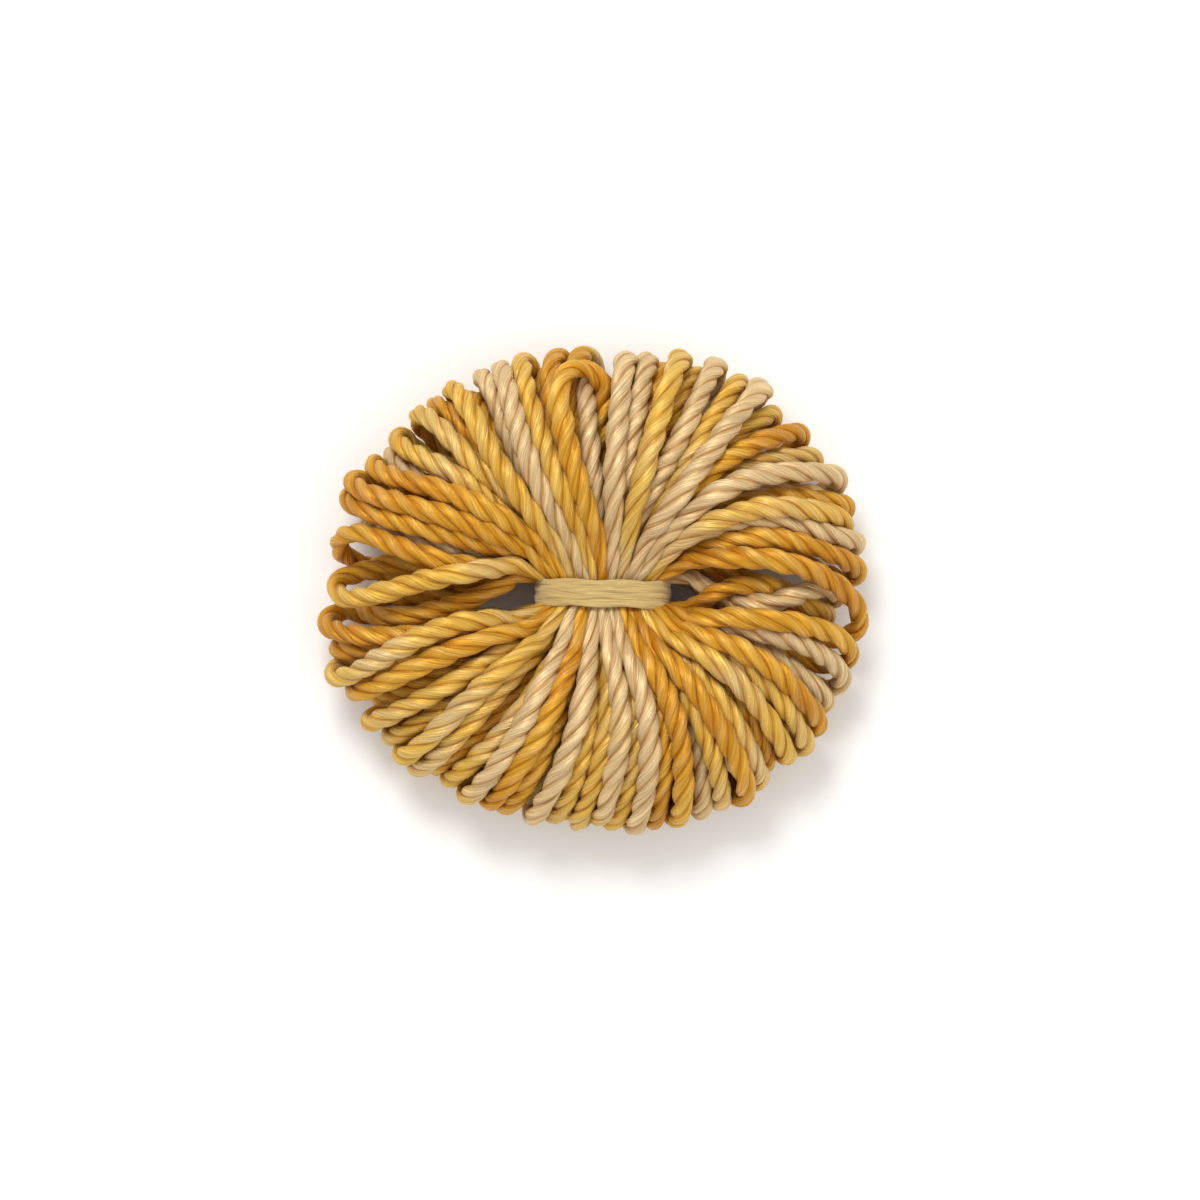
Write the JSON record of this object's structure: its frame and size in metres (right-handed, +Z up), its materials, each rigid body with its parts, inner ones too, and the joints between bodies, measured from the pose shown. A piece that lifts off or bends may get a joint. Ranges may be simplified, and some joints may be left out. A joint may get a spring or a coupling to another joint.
{
  "type": "silk loop tuft",
  "caption": "Upholstery tuft: looped silk cord drawn in at the waist by a yarn binding, its loops opened into two fans that lie as one oval rosette.",
  "frame": {"origin": "middle of the binding's flat underside, on the surface that the tuft lies on", "axes": "+X along the binding, +Y along the bundle of cord that it draws in, +Z up out of the tuft's face"},
  "size_m": [0.0381, 0.0336, 0.0092],
  "materials": {
    "silk_cord": "three-ply twisted silk cord, space-dyed gold, straw and champagne, lustrous",
    "binding_yarn": "soft flat pale straw silk yarn, wound"
  },
  "bodies": {
    "root": {"cord_loops": "silk_cord", "binding": "binding_yarn"}
  },
  "joints": []
}
